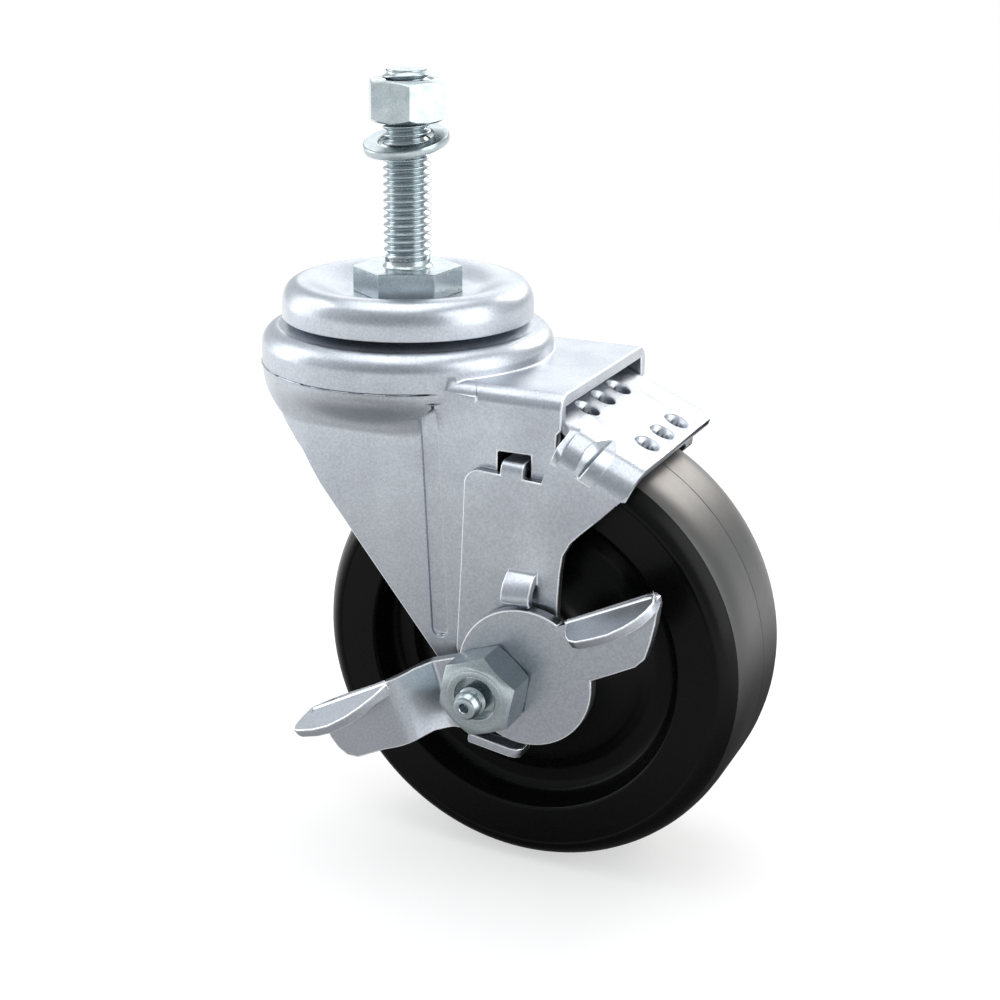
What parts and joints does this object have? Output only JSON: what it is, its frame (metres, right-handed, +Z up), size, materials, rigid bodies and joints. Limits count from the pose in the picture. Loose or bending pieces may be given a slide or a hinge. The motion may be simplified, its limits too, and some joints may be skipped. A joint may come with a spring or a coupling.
{
  "type": "threaded stem swivel castor with top-lock brake",
  "caption": "Swivel castor on a threaded stem, with a hard rubber wheel in a pressed zinc-plated fork and a cam lever brake whose shoe locks the tread.",
  "frame": {"origin": "the stem's axis at the seat, which is the top face of the stem's hexagon", "axes": "+Z up along the stem, +X the way the wheel trails, -Y the side of the brake lever and the axle nut"},
  "size_m": [0.1056, 0.0739, 0.1546],
  "materials": {
    "zinc_sheet": "bright blue-white zinc plate on pressed sheet steel, satin with a fine grain",
    "zinc_bar": "bright zinc plate on turned and cold-headed steel",
    "bearing_steel": "plain ground and hardened bearing steel",
    "hard_rubber": "black moulded hard rubber, semi-gloss on the faces and satin on the tread"
  },
  "bodies": {
    "stem_assembly": {"threaded_stem": "zinc_bar", "stem_nut": "zinc_bar", "lock_washer": "zinc_bar", "top_cap": "zinc_sheet", "lower_race": "zinc_bar"},
    "upper_ball_ring": {"upper_balls": "bearing_steel"},
    "lower_ball_ring": {"lower_balls": "bearing_steel"},
    "fork_body": {"fork": "zinc_sheet", "axle_bolt": "zinc_bar", "axle_nut": "zinc_bar", "grease_fitting": "zinc_bar", "cam_bush": "zinc_bar", "far_washer": "zinc_bar", "spanner_bushing": "zinc_bar", "near_thrust_washer": "bearing_steel", "far_thrust_washer": "bearing_steel"},
    "wheel_body": {"wheel": "hard_rubber", "bearing_sleeve": "bearing_steel"},
    "roller_ring": {"bearing_rollers": "bearing_steel", "bearing_cage": "bearing_steel"},
    "lever_body": {"cam_lever": "zinc_sheet"},
    "shoe_body": {"brake_shoe": "zinc_sheet"}
  },
  "joints": [
    {"name": "swivel", "type": "hinge", "parent": "stem_assembly", "child": "fork_body", "pos_m": [0, 0, -0.01], "axis": [0, 0, 1], "continuous": true},
    {"name": "upper_balls_roll", "type": "hinge", "parent": "stem_assembly", "child": "upper_ball_ring", "pos_m": [0, 0, -0.0077], "axis": [0, 0, 1], "continuous": true},
    {"name": "lower_balls_roll", "type": "hinge", "parent": "stem_assembly", "child": "lower_ball_ring", "pos_m": [0, 0, -0.0136], "axis": [0, 0, 1], "continuous": true},
    {"name": "wheel_spin", "type": "hinge", "parent": "fork_body", "child": "wheel_body", "pos_m": [0.032, 0, -0.07205], "axis": [0, 1, 0], "continuous": true},
    {"name": "rollers_roll", "type": "hinge", "parent": "fork_body", "child": "roller_ring", "pos_m": [0.032, 0, -0.07205], "axis": [0, 1, 0], "continuous": true},
    {"name": "brake_lever", "type": "hinge", "parent": "fork_body", "child": "lever_body", "pos_m": [0.032, -0.027, -0.07205], "axis": [0, 1, 0], "range_deg": [0, 25]},
    {"name": "brake_slide", "type": "slide", "parent": "fork_body", "child": "shoe_body", "axis": [0, 0, -1], "range_m": [0, 0.0026]}
  ],
  "couplings": [
    {"joint": "upper_balls_roll", "follows": "swivel", "ratio": 0.5},
    {"joint": "lower_balls_roll", "follows": "swivel", "ratio": 0.5},
    {"joint": "rollers_roll", "follows": "wheel_spin", "ratio": 0.6304},
    {"joint": "brake_slide", "follows": "brake_lever", "m_per_rad": 0.0059587}
  ]
}
